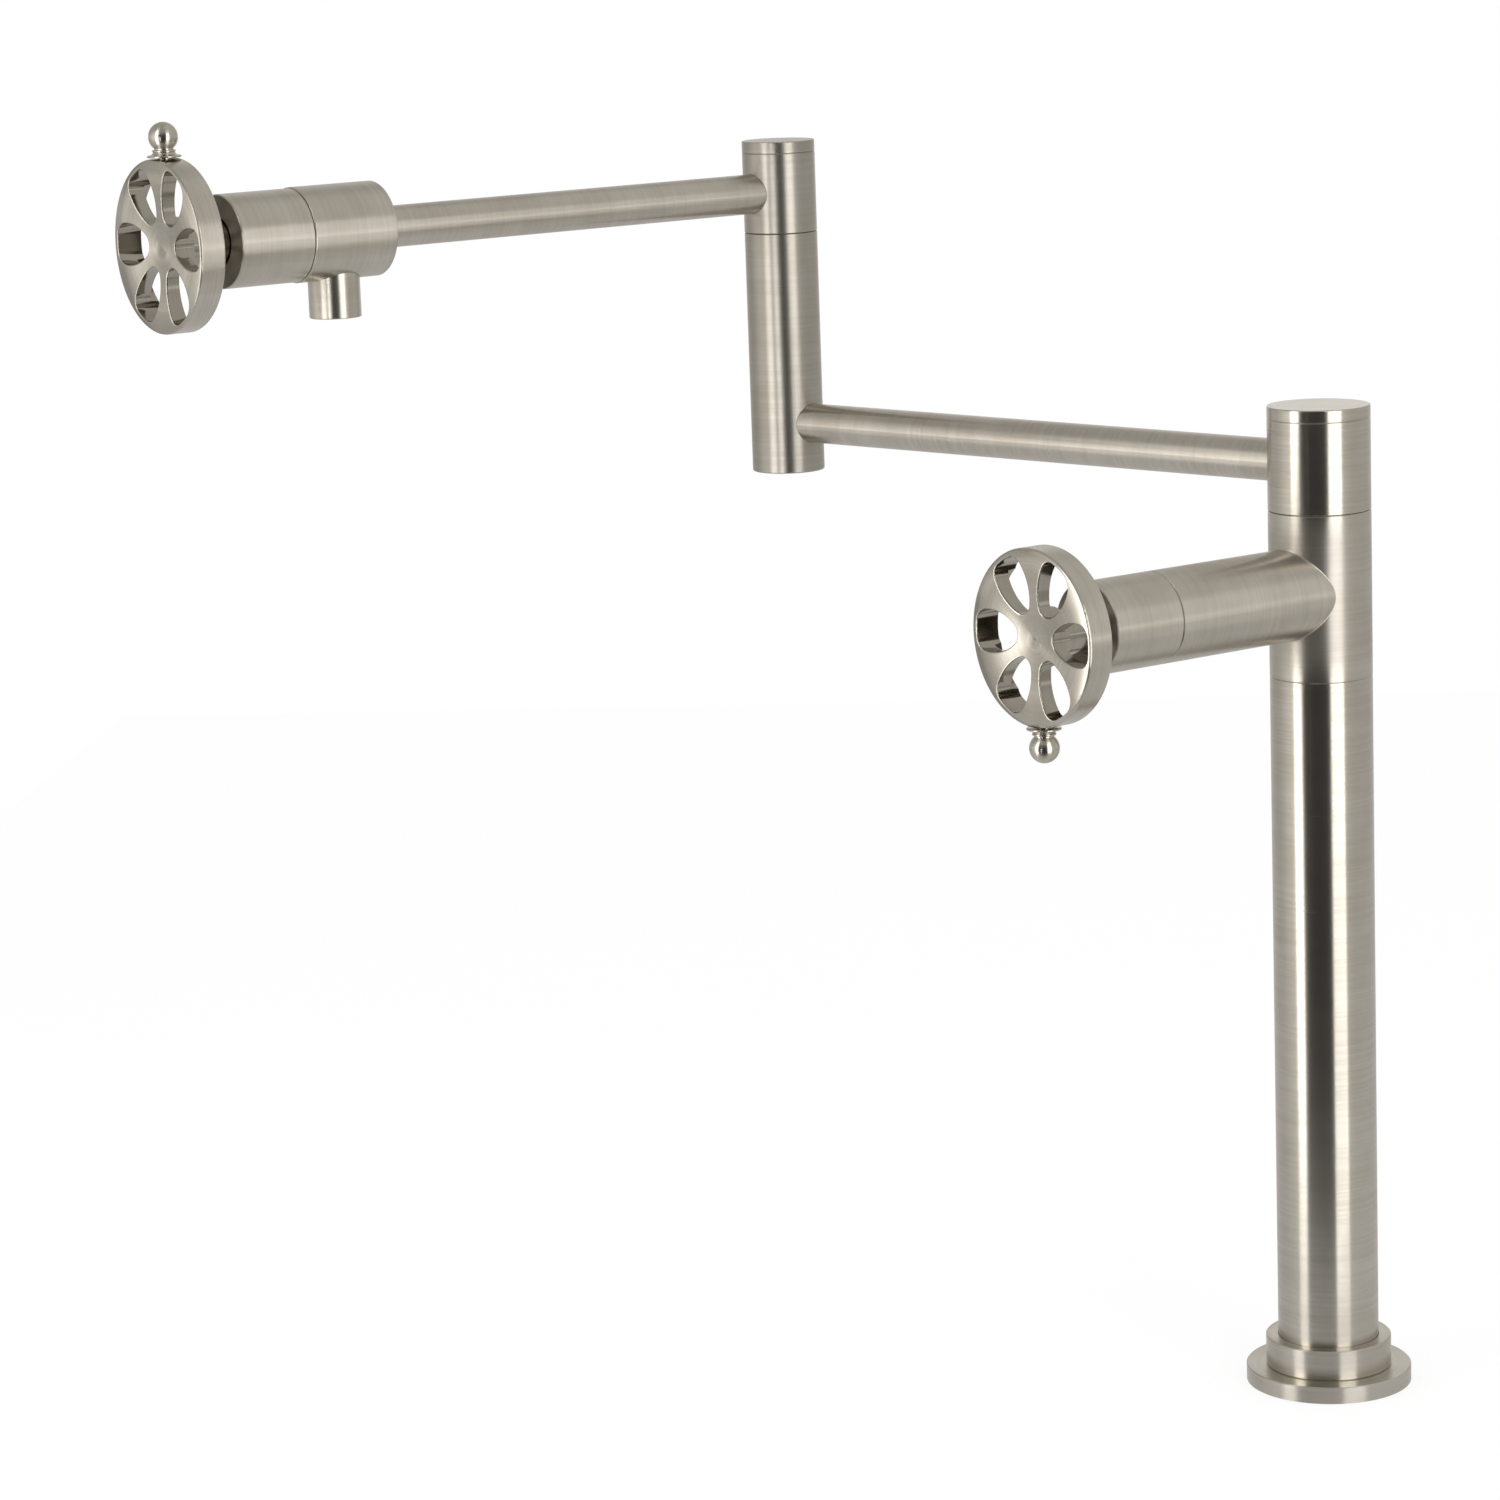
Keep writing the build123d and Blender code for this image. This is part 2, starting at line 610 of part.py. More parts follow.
def handwheel(seat, finial_side):
    """Dished wheel with six teardrop openings; finial_side is +1 for up and -1 for down."""
    dish_r = wheel_r - dish_edge
    dish_radius = (dish_r ** 2 + dish_depth ** 2) / (2 * dish_depth)
    finial_dir = up * finial_side
    rim_top = seat + out * wheel_middle + finial_dir * wheel_r
    spoke_turn = 180 / opening_count
    with BuildPart() as wheel:
        with BuildSketch(lengthwise(seat).rotated((0, spoke_turn, 0))) as section:
            with BuildLine():
                Polyline(
                    (0, wheel_front - dish_depth), (0, hub_bore_end),
                    (stem_end_r + seat_gap, hub_bore_end), (stem_end_r + seat_gap, hub_boss_start),
                    (hub_boss_r, hub_boss_start), (hub_boss_r, wheel_back + 0.3),
                    (hub_r, wheel_back + 0.3), (hub_r + 0.6, wheel_back + web_back),
                    (wheel_r - rim_wall - 0.3, wheel_back + web_back),
                    (wheel_r - rim_wall, wheel_back), (wheel_r, wheel_back),
                    (wheel_r, wheel_front), (dish_r, wheel_front),
                )
                RadiusArc((dish_r, wheel_front), (0, wheel_front - dish_depth), dish_radius)
            make_face()
            fillet(section.vertices().group_by(Axis.X)[-1], rim_round)
        revolve(axis=Axis(seat, out))
        with BuildSketch(outward(seat, wheel_back - 1)):
            with PolarLocations(0, opening_count):
                add(teardrop.sketch)
        extrude(amount=wheel_t + 2, mode=Mode.SUBTRACT)
        dish = wheel.faces().filter_by(GeomType.SPHERE)[0]
        fillet([edge for mouth in dish.inner_wires() for edge in mouth.edges()], mouth_round)
        with BuildSketch(Plane(origin=rim_top - finial_dir * foot_recess, z_dir=finial_dir)):
            Circle(finial_foot_r + 0.15)
        extrude(amount=1, mode=Mode.SUBTRACT)
        with BuildSketch(Plane(origin=rim_top, z_dir=-finial_dir)):
            Circle(finial_stud_r + seat_gap)
        extrude(amount=finial_stud_l + 0.5, mode=Mode.SUBTRACT)
        with BuildSketch(Plane(origin=seat + out * screw_place, z_dir=-finial_dir)):
            Circle(screw_r + seat_gap)
        extrude(amount=hub_boss_r + 1, mode=Mode.SUBTRACT)
    return wheel.part


def ball_finial(seat, finial_side):
    """Turned finial on the rim: stud, foot, flange, cove, bead, neck and ball."""
    base = seat + out * wheel_middle + up * finial_side * wheel_r
    ball_r, ball_centre = 5.5, 7.9
    neck_r = 3.6
    ball_foot = ball_centre - sqrt(ball_r ** 2 - neck_r ** 2)
    foot_low = seat_gap - foot_recess
    with BuildPart() as finial:
        with BuildSketch(Plane(origin=base, x_dir=(1, 0, 0), z_dir=(0, -finial_side, 0))):
            with BuildLine():
                Polyline(
                    (0, ball_centre + ball_r), (0, -finial_stud_l), (finial_stud_r, -finial_stud_l),
                    (finial_stud_r, foot_low), (finial_foot_r, foot_low), (finial_foot_r, 0.4),
                    (6.0, 0.4),
                )
                ThreePointArc((6.0, 0.4), (6.4, 0.8), (6.0, 1.2))
                ThreePointArc((6.0, 1.2), (4.6, 1.6), (4.0, 2.4))
                ThreePointArc((4.0, 2.4), (4.4, 2.8), (4.0, 3.2))
                Polyline((4.0, 3.2), (neck_r, 3.35), (neck_r, ball_foot))
                ThreePointArc((neck_r, ball_foot), (ball_r, ball_centre), (0, ball_centre + ball_r))
            make_face()
        revolve(axis=Axis(base, up))
    return finial.part


def set_screw(seat, finial_side):
    """Headless screw in the hub's boss, bearing on the stem's flat, with a hexagon socket."""
    away = up * -finial_side
    foot = flat_place + 0.05
    length = hub_boss_r - foot - 0.3
    plane = Plane(origin=seat + out * screw_place + away * foot, z_dir=away)
    with BuildPart() as screw:
        with BuildSketch(plane):
            Circle(screw_r)
        extrude(amount=length)
        with BuildSketch(plane.offset(length)):
            RegularPolygon(1.1, 6)
        extrude(amount=-2, mode=Mode.SUBTRACT)
    return screw.part


for prefix, seat, sleeve_r, finial_side in (
    ("column", branch_seat, branch_r, -1),
    ("spout", spout_seat, spout_sleeve_r, 1),
):
    cartridge(prefix, seat, finial_side)
    save(valve_sleeve(seat, sleeve_r), f"{prefix}_sleeve")
    save(handwheel(seat, finial_side), f"{prefix}_handwheel")
    save(ball_finial(seat, finial_side), f"{prefix}_finial")
    save(set_screw(seat, finial_side), f"{prefix}_set_screw")
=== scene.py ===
"""Looks of a deck mount pot filler: satin nickel pipework, two dished handwheels and a plain studio."""
from math import cos, pi, radians, sin

import bmesh
import bpy
from mathutils import Matrix, Vector


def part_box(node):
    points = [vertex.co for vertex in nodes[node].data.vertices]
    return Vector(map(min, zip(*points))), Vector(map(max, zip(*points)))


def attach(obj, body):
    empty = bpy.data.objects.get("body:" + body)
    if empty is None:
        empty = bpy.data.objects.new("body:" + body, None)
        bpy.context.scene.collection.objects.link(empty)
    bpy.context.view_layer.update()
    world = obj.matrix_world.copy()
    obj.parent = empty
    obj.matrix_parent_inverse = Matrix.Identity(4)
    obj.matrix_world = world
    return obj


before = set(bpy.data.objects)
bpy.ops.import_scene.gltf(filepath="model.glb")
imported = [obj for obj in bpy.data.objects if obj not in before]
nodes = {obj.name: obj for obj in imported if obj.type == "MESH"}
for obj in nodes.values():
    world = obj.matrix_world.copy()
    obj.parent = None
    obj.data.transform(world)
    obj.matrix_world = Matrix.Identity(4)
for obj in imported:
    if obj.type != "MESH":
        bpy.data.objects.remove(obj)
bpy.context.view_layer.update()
scene = bpy.context.scene
scene.view_settings.view_transform = "Standard"


# Camera
# A long lens from the front right, a little above the upper arm, tilted by two degrees.
frame_px = 1500
focal_px = 4515.0
sensor_width = 36.0
camera_at = Vector((1.2042, -1.15171, 0.57871))
camera_yaw, camera_pitch, camera_roll = radians(53.637), radians(11.144), radians(2.057)
camera_data = bpy.data.cameras.new("camera")
camera_data.sensor_width = sensor_width
camera_data.lens = sensor_width * focal_px / frame_px
camera_data.clip_start, camera_data.clip_end = 0.05, 30.0
camera = bpy.data.objects.new("camera", camera_data)
scene.collection.objects.link(camera)
camera.matrix_world = (
    Matrix.Translation(camera_at)
    @ Matrix.Rotation(camera_yaw, 4, "Z")
    @ Matrix.Rotation(pi / 2 - camera_pitch, 4, "X")
    @ Matrix.Rotation(-camera_roll, 4, "Z")
)
scene.camera = camera


# Studio room
# Pale paper hangs round the back, the sides and above, and the room behind the camera is unlit.
# The paper is brightest at the horizon, beside both lamps and right behind the tap.
def feed(tree, socket, value):
    """Link an output to a socket, or set the socket to a plain value."""
    if isinstance(value, bpy.types.NodeSocket):
        tree.links.new(value, socket)
    else:
        socket.default_value = value


def calculate(tree, operation, *values):
    """One Math node."""
    node = tree.nodes.new("ShaderNodeMath")
    node.operation = operation
    for socket, value in zip(node.inputs, values):
        feed(tree, socket, value)
    return node.outputs[0]


def vector_math(tree, operation, *values):
    """One Vector Math node, whose result is a vector, or a number for a dot product or a length."""
    node = tree.nodes.new("ShaderNodeVectorMath")
    node.operation = operation
    for socket, value in zip(node.inputs, values):
        feed(tree, socket, value)
    return node.outputs["Value" if operation in ("DOT_PRODUCT", "LENGTH") else "Vector"]


def split(tree, vector):
    """X, Y and Z of a vector."""
    node = tree.nodes.new("ShaderNodeSeparateXYZ")
    feed(tree, node.inputs[0], vector)
    return node.outputs


def ramp(tree, value, low, high, to_low=0.0, to_high=1.0):
    """Map a value smoothly from one range to another, clamped at both ends."""
    node = tree.nodes.new("ShaderNodeMapRange")
    node.interpolation_type = "SMOOTHSTEP"
    feed(tree, node.inputs["Value"], value)
    for socket, number in zip(("From Min", "From Max", "To Min", "To Max"), (low, high, to_low, to_high)):
        node.inputs[socket].default_value = number
    return node.outputs["Result"]


def compass(azimuth):
    """Level direction at an azimuth in degrees: 0 is -Y and 90 is +X."""
    return Vector((sin(radians(azimuth)), -cos(radians(azimuth)), 0.0))


camera_azimuth = 48.0
paper_level, overhead_gain, horizon_gain, unlit_level = 0.45, 0.17, 0.36, 0.008
paper_ends, ceiling_starts = (0.60, 0.74), (0.32, 0.60)
overhead_glow, horizon_band, horizon_drop = (0.62, 0.92), (0.015, 0.08), 0.02
world = bpy.data.worlds.new("studio_room")
scene.world = world
world.use_nodes = True
room = world.node_tree
room.nodes.clear()
direction = room.nodes.new("ShaderNodeTexCoord").outputs["Generated"]
height = split(room, direction)["Z"]


def towards(azimuth, elevation):
    """How closely a direction points to a place in the room, at most 1."""
    aim = compass(azimuth) * cos(radians(elevation)) + Vector((0.0, 0.0, sin(radians(elevation))))
    return vector_math(room, "DOT_PRODUCT", direction, aim)


def patch(azimuth, elevation, strength, tightness):
    """Round bright patch on the paper that fades outwards."""
    near = calculate(room, "MAXIMUM", towards(azimuth, elevation), 0.0)
    return calculate(room, "MULTIPLY", calculate(room, "POWER", near, tightness), strength)


hung = ramp(room, towards(camera_azimuth, 0.0), *paper_ends, 1.0, 0.0)
papered = calculate(room, "MAXIMUM", hung, ramp(room, height, *ceiling_starts))
off_horizon = calculate(room, "ABSOLUTE", calculate(room, "ADD", height, horizon_drop))
overhead = ramp(room, towards(150.0, 42.0), *overhead_glow, paper_level, paper_level + overhead_gain)
level = calculate(room, "ADD", overhead, ramp(room, off_horizon, *horizon_band, horizon_gain, 0.0))
beside_left_lamp = patch(-22.0, 0.0, strength=0.60, tightness=9.0)
beside_right_lamp = patch(100.0, 0.0, strength=0.30, tightness=24.0)
behind_tap = patch(-132.0, 10.0, strength=0.36, tightness=10.0)
for bright in (beside_left_lamp, beside_right_lamp, behind_tap):
    level = calculate(room, "ADD", level, bright)
level = calculate(room, "ADD", calculate(room, "MULTIPLY", level, papered), unlit_level)

# Mirrors see the papered room, and the camera and the matt surfaces see plain white
mirrored_room = room.nodes.new("ShaderNodeBackground")
mirrored_room.inputs["Color"].default_value = (1.0, 0.985, 0.95, 1.0)
feed(room, mirrored_room.inputs["Strength"], level)
white = room.nodes.new("ShaderNodeBackground")
white.inputs["Color"].default_value = (1.0, 1.0, 1.0, 1.0)
white.inputs["Strength"].default_value = 1.0
either = room.nodes.new("ShaderNodeMixShader")
feed(room, either.inputs[0], room.nodes.new("ShaderNodeLightPath").outputs["Is Glossy Ray"])
feed(room, either.inputs[1], white.outputs[0])
feed(room, either.inputs[2], mirrored_room.outputs[0])
world_out = room.nodes.new("ShaderNodeOutputWorld")
feed(room, world_out.inputs["Surface"], either.outputs[0])


# Lamps
# Two upright soft boxes stand to the left and the right of the camera and draw the bright strips
# on the pipes. A small lamp behind a grid fills the dark band of the elbow alone.
def middle(node):
    """Middle of a CAD node's box."""
    low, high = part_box(node)
    return (low + high) / 2


def soft_box(name, aim, azimuth, distance, width, tall, radiance, drop=0.0, spread=180.0):
    """Rectangular lamp that faces a place, with its brightness per unit of area and its spread."""
    lamp = bpy.data.lights.new(name, "AREA")
    lamp.shape = "RECTANGLE"
    lamp.size, lamp.size_y = width, tall
    lamp.energy = radiance * pi * width * tall
    lamp.spread = radians(spread)
    box = bpy.data.objects.new(name, lamp)
    scene.collection.objects.link(box)
    away = compass(azimuth) * distance - Vector((0.0, 0.0, drop))
    box.matrix_world = Matrix.Translation(aim + away) @ away.to_track_quat("Z", "Y").to_matrix().to_4x4()
    box.visible_camera = False


column_middle = Vector((0.0, 0.0, 0.45))
soft_box("left_soft_box", column_middle, azimuth=-8.5, distance=1.0, width=0.34, tall=1.5, radiance=2.5)
soft_box("right_soft_box", column_middle, azimuth=82.0, distance=1.1, width=0.60, tall=1.5, radiance=2.5)
soft_box(
    "elbow_lamp", middle("elbow_lower_body"), azimuth=32.0, distance=0.65, width=0.30, tall=0.30,
    radiance=0.14, drop=0.12, spread=24.0,
)


# Floor
# A satin white table top whose front edge lies a hand's length before the tap. It shines a little,
# so that the lamps still show on the tap's foot.
def noise(tree, vector, scale, detail=2.0, roughness=0.5, w=None):
    """Noise texture value; with w it is the four-dimensional kind."""
    node = tree.nodes.new("ShaderNodeTexNoise")
    if w is not None:
        node.noise_dimensions = "4D"
        feed(tree, node.inputs["W"], w)
    feed(tree, node.inputs["Vector"], vector)
    feed(tree, node.inputs["Scale"], scale)
    node.inputs["Detail"].default_value = detail
    node.inputs["Roughness"].default_value = roughness
    return node.outputs["Fac"]


def blend(tree, kind, factor, first, second, how="MIX"):
    """Mix of two values, vectors or colours: FLOAT, VECTOR or RGBA."""
    node = tree.nodes.new("ShaderNodeMix")
    node.data_type, node.blend_type = kind, how
    feed(tree, node.inputs["Factor"], factor)
    feed(tree, node.inputs["A"], first)
    feed(tree, node.inputs["B"], second)
    return node.outputs["Result"]


def opaque(colour, tint=1.0):
    """Colour multiplied by a tint, with an alpha of 1."""
    return (*(tint * channel for channel in colour), 1.0)


def shine(tree, strength):
    """White light of one strength."""
    light = tree.nodes.new("ShaderNodeEmission")
    light.inputs["Strength"].default_value = strength
    return light


def mix_shaders(tree, factor, first, second):
    """Mix of two shaders."""
    node = tree.nodes.new("ShaderNodeMixShader")
    feed(tree, node.inputs[0], factor)
    feed(tree, node.inputs[1], first.outputs[0])
    feed(tree, node.inputs[2], second.outputs[0])
    return node


floor_half = 0.8
front_edge = 0.18
below_foot = 0.0002
own_light, level_in_mirrors = 0.84, 0.64
floor_mesh = bmesh.new()
bmesh.ops.create_grid(floor_mesh, x_segments=1, y_segments=1, size=floor_half)
bmesh.ops.rotate(floor_mesh, matrix=Matrix.Rotation(radians(camera_azimuth), 3, "Z"), verts=floor_mesh.verts)
floor_centre = compass(camera_azimuth) * (front_edge - floor_half) + Vector((0.0, 0.0, -below_foot))
bmesh.ops.translate(floor_mesh, vec=floor_centre, verts=floor_mesh.verts)
floor_data = bpy.data.meshes.new("floor")
floor_mesh.to_mesh(floor_data)
floor_mesh.free()
floor = bpy.data.objects.new("floor", floor_data)
scene.collection.objects.link(floor)
floor_paper = bpy.data.materials.new("floor_paper")
floor_paper.use_nodes = True
tree = floor_paper.node_tree
matt = tree.nodes["Principled BSDF"]
matt.inputs["Roughness"].default_value = 0.9
matt.inputs["Specular IOR Level"].default_value = 0.1
fibres = noise(tree, tree.nodes.new("ShaderNodeTexCoord").outputs["Object"], 900.0)
shade = blend(tree, "RGBA", fibres, opaque((0.90, 0.90, 0.90)), opaque((0.94, 0.94, 0.93)))
feed(tree, matt.inputs["Base Color"], shade)
rays = tree.nodes.new("ShaderNodeLightPath").outputs
seen = calculate(tree, "MAXIMUM", rays["Is Camera Ray"], rays["Is Transmission Ray"])
lit = mix_shaders(tree, calculate(tree, "MULTIPLY", seen, own_light), matt, shine(tree, 1.0))
gloss = tree.nodes.new("ShaderNodeBsdfGlossy")
gloss.inputs["Roughness"].default_value = 0.25
satin = tree.nodes.new("ShaderNodeFresnel")
satin.inputs["IOR"].default_value = 1.6
mirrored = mix_shaders(tree, satin.outputs[0], shine(tree, level_in_mirrors), gloss)
table_top = mix_shaders(tree, rays["Is Glossy Ray"], lit, mirrored)
feed(tree, tree.nodes["Material Output"].inputs["Surface"], table_top.outputs[0])
floor_data.materials.append(floor_paper)


# Base gasket
# A flat black rubber ring in the groove under the flange, cut from sheet; it seals on the deck.
def dress(material, *names):
    """Give a finish to CAD nodes by name."""
    for name in names:
        for slot in nodes[name].material_slots:
            slot.material = material


def start_material(name):
    """New node material: itself, its tree, its Principled shader and its coordinates."""
    material = bpy.data.materials.new(name)
    material.use_nodes = True
    tree = material.node_tree
    return material, tree, tree.nodes["Principled BSDF"], tree.nodes.new("ShaderNodeTexCoord").outputs


def new_group(name, inputs, outputs):
    """Empty shader node group with named sockets: its tree, its inputs and its outputs."""
    group = bpy.data.node_groups.new(name, "ShaderNodeTree")
    for socket, value in inputs.items():
        kind = "NodeSocketVector" if isinstance(value, tuple) else "NodeSocketFloat"
        made = group.interface.new_socket(socket, in_out="INPUT", socket_type=kind)
        made.default_value = value
    for socket in outputs:
        group.interface.new_socket(socket, in_out="OUTPUT", socket_type="NodeSocketFloat")
    return group, group.nodes.new("NodeGroupInput").outputs, group.nodes.new("NodeGroupOutput").inputs


def use_group(tree, group, values):
    """Place a node group in a material with its own values."""
    node = tree.nodes.new("ShaderNodeGroup")
    node.node_tree = group
    for socket, value in values.items():
        feed(tree, node.inputs[socket], value)
    return node.outputs


def bump(tree, height, strength, distance):
    """Normal from a height."""
    node = tree.nodes.new("ShaderNodeBump")
    node.inputs["Strength"].default_value = strength
    node.inputs["Distance"].default_value = distance
    feed(tree, node.inputs["Height"], height)
    return node.outputs["Normal"]


# The mottle and the grain of what is moulded or cut from sheet
moulded_grain, given, results = new_group(
    "moulded_grain", {"Vector": (0.0, 0.0, 0.0), "Grain scale": 1500.0}, ("Mottle", "Grain")
)
mottle = noise(moulded_grain, given["Vector"], scale=180.0, detail=4.0)
grain = noise(moulded_grain, given["Vector"], given["Grain scale"], detail=3.0, roughness=0.6)
feed(moulded_grain, results["Mottle"], mottle)
feed(moulded_grain, results["Grain"], grain)


def moulded(name, dark, pale, rough, grain_scale, grain_depth):
    """Moulded or cut material with a fine grain, slightly mottled."""
    material, tree, shader, place = start_material(name)
    surface = use_group(tree, moulded_grain, {"Vector": place["Object"], "Grain scale": grain_scale})
    mottle, grain = surface["Mottle"], surface["Grain"]
    feed(tree, shader.inputs["Base Color"], blend(tree, "RGBA", mottle, opaque(dark), opaque(pale)))
    feed(tree, shader.inputs["Roughness"], ramp(tree, grain, 0.3, 0.7, rough - 0.08, rough + 0.08))
    feed(tree, shader.inputs["Normal"], bump(tree, grain, 0.35, grain_depth))
    return material


rubber = moulded(
    "black_rubber", dark=(0.012, 0.012, 0.013), pale=(0.03, 0.03, 0.031), rough=0.62,
    grain_scale=2600.0, grain_depth=0.00005,
)
dress(rubber, "base_gasket")


# Base flange
# The flat round foot, turned from brass bar, brushed on the lathe and plated with satin nickel.
def join(tree, x, y, z=0.0):
    """Vector from X, Y and Z."""
    node = tree.nodes.new("ShaderNodeCombineXYZ")
    for socket, value in zip(node.inputs, (x, y, z)):
        feed(tree, socket, value)
    return node.outputs[0]


# Brushing that runs round the Z axis of its coordinates: rings on end faces, hoops on pipes
nickel_lines = 850.0
turned_lines, given, results = new_group(
    "turned_lines", {"Vector": (0.0, 0.0, 0.0), "Rings": 1.0, "Lines per metre": nickel_lines},
    ("Lines", "Streaks", "Clouds"),
)
never_zero = 0.00001
lathe = split(turned_lines, given["Vector"])
reach = vector_math(turned_lines, "LENGTH", join(turned_lines, lathe["X"], lathe["Y"]))
reach = calculate(turned_lines, "ADD", reach, never_zero)
around_x = calculate(turned_lines, "DIVIDE", lathe["X"], reach)
around_y = calculate(turned_lines, "DIVIDE", lathe["Y"], reach)


def hoops(density, wander, detail):
    """Noise drawn out round the axis, at a density across the lines and a wander along them."""
    rings = calculate(turned_lines, "MULTIPLY", reach, given["Rings"])
    vector = join(
        turned_lines,
        calculate(turned_lines, "MULTIPLY", rings, density),
        calculate(turned_lines, "MULTIPLY", lathe["Z"], density),
        calculate(turned_lines, "MULTIPLY", around_x, wander),
    )
    along = calculate(turned_lines, "MULTIPLY", around_y, wander)
    return noise(turned_lines, vector, scale=1.0, detail=detail, roughness=0.65, w=along)


streak_share = 0.16
streak_density = calculate(turned_lines, "MULTIPLY", given["Lines per metre"], streak_share)
feed(turned_lines, results["Lines"], hoops(given["Lines per metre"], wander=0.35, detail=3.0))
feed(turned_lines, results["Streaks"], hoops(streak_density, wander=0.2, detail=2.0))
feed(turned_lines, results["Clouds"], noise(turned_lines, given["Vector"], scale=55.0, detail=3.0))

nickel_pale, nickel_deep = (0.60, 0.565, 0.50), (0.52, 0.482, 0.415)
up, along_y = Vector((0.0, 0.0, 1.0)), Vector((0.0, 1.0, 0.0))
origin = Vector((0.0, 0.0, 0.0))


def centred(tree, place, axis, centre):
    """Object coordinates moved and turned so that a lathe axis becomes their Z axis."""
    turn = axis.rotation_difference(up).to_matrix()
    node = tree.nodes.new("ShaderNodeMapping")
    node.inputs["Rotation"].default_value = turn.to_euler("XYZ")
    node.inputs["Location"].default_value = -(turn @ centre)
    feed(tree, node.inputs["Vector"], place["Object"])
    return node.outputs[0]


def on_end_face(tree, place, axis, least=0.3):
    """1 on the faces that look along a lathe axis and 0 on the sides."""
    along = calculate(tree, "ABSOLUTE", vector_math(tree, "DOT_PRODUCT", place["Normal"], axis))
    return calculate(tree, "GREATER_THAN", along, least)


def outwards(tree, place, axis, centre):
    """Vector that leads square from an axis to the surface."""
    offset = vector_math(tree, "SUBTRACT", place["Object"], centre)
    return vector_math(tree, "SUBTRACT", offset, vector_math(tree, "PROJECT", offset, axis))


def across_lines(tree, place, axis, centre, flat_ends=False):
    """Direction square to the brushing: along a pipe and outwards on an end face.

    With flat_ends the end faces are brushed straight instead of round.
    """
    sideways, at_the_pole, lean = axis.orthogonal(), 0.0004, 1.7
    radial = vector_math(tree, "ADD", outwards(tree, place, axis, centre), sideways * at_the_pole)
    radial = vector_math(tree, "NORMALIZE", radial)
    if flat_ends:
        radial = blend(tree, "VECTOR", on_end_face(tree, place, axis), radial, sideways)
    node = tree.nodes.new("ShaderNodeVectorTransform")
    node.vector_type = "VECTOR"
    node.convert_from, node.convert_to = "OBJECT", "WORLD"
    feed(tree, node.inputs[0], vector_math(tree, "ADD", radial, axis * lean))
    return node.outputs[0]


def lathe_marks(tree, place, axis, centre, lines):
    """The lines, streaks and clouds of work done on the lathe round an axis."""
    return use_group(tree, turned_lines, {
        "Vector": centred(tree, place, axis, centre),
        "Rings": on_end_face(tree, place, axis),
        "Lines per metre": lines,
    })


def weigh(tree, first, second, share):
    """Sum of two values, the first at a share and the second at the rest."""
    first_part = calculate(tree, "MULTIPLY", first, share)
    return calculate(tree, "ADD", first_part, calculate(tree, "MULTIPLY", second, 1.0 - share))


def nickel_finish(tree, shader, marks, rough, depth, tint=1.0):
    """Colour, gloss and grooves of satin nickel from its brushing."""
    grooves = weigh(tree, marks["Lines"], marks["Streaks"], 0.7)
    tone = ramp(tree, weigh(tree, grooves, marks["Clouds"], 0.6), 0.36, 0.64)
    nickel = blend(tree, "RGBA", tone, opaque(nickel_deep, tint), opaque(nickel_pale, tint))
    feed(tree, shader.inputs["Base Color"], nickel)
    feed(tree, shader.inputs["Roughness"], ramp(tree, grooves, 0.3, 0.7, rough + 0.015, rough - 0.015))
    feed(tree, shader.inputs["Normal"], bump(tree, grooves, 0.5, depth))
    shader.inputs["Metallic"].default_value = 1.0


def brushed(name, axis, centre, rough=0.26, spread=0.89, depth=0.0000012, flat_ends=False, tint=1.0):
    """Satin nickel brushed round an axis, which spreads what it mirrors across the lines."""
    material, tree, shader, place = start_material(name)
    nickel_finish(tree, shader, lathe_marks(tree, place, axis, centre, nickel_lines), rough, depth, tint)
    feed(tree, shader.inputs["Tangent"], across_lines(tree, place, axis, centre, flat_ends))
    shader.inputs["Anisotropic"].default_value = spread
    return material


column_nickel = brushed("column_nickel", up, origin)
dress(column_nickel, "base_flange")


# Base collar
# A ring turned from the same bar that slides down the riser and hides the joint at its foot.
dress(column_nickel, "base_collar")


# Shank adapter
# A machined brass plug in the riser's foot, bored and threaded below for the shank of the deck.
def machined(name, axis, centre, dark, pale, rough, lines=1800.0, depth=0.00002):
    """Bare turned metal, with deeper tool marks than the brushed nickel."""
    material, tree, shader, place = start_material(name)
    marks = lathe_marks(tree, place, axis, centre, lines)
    tone = ramp(tree, weigh(tree, marks["Lines"], marks["Clouds"], 0.5), 0.3, 0.7)
    feed(tree, shader.inputs["Base Color"], blend(tree, "RGBA", tone, opaque(dark), opaque(pale)))
    feed(tree, shader.inputs["Roughness"], ramp(tree, marks["Lines"], 0.3, 0.7, rough + 0.06, rough - 0.05))
    feed(tree, shader.inputs["Normal"], bump(tree, marks["Lines"], 0.5, depth))
    shader.inputs["Metallic"].default_value = 1.0
    return material


bare_brass = {"dark": (0.50, 0.33, 0.12), "pale": (0.72, 0.52, 0.24), "rough": 0.27}
column_brass = machined("column_brass", up, origin, **bare_brass)
dress(column_brass, "shank_adapter")

# The thread's ridge: one trapezoid turned up a helix, its root let into the socket's wall
socket_radius, thread_depth, root_overlap, pitch = 0.0093, 0.00062, 0.00006, 0.00141
turns, steps_per_turn, thread_start = 8, 48, 0.0013
thread = bmesh.new()
outer, inner = socket_radius + root_overlap, socket_radius - thread_depth
corners = ((outer, 0.0), (inner, 0.3 * pitch), (inner, 0.5 * pitch), (outer, 0.8 * pitch))
section = thread.faces.new([thread.verts.new((x, 0.0, thread_start + z)) for x, z in corners])
bmesh.ops.spin(
    thread, geom=[section, *section.edges, *section.verts], cent=(0.0, 0.0, 0.0), axis=(0.0, 0.0, 1.0),
    dvec=(0.0, 0.0, pitch / steps_per_turn), angle=2 * pi * turns, steps=turns * steps_per_turn,
)
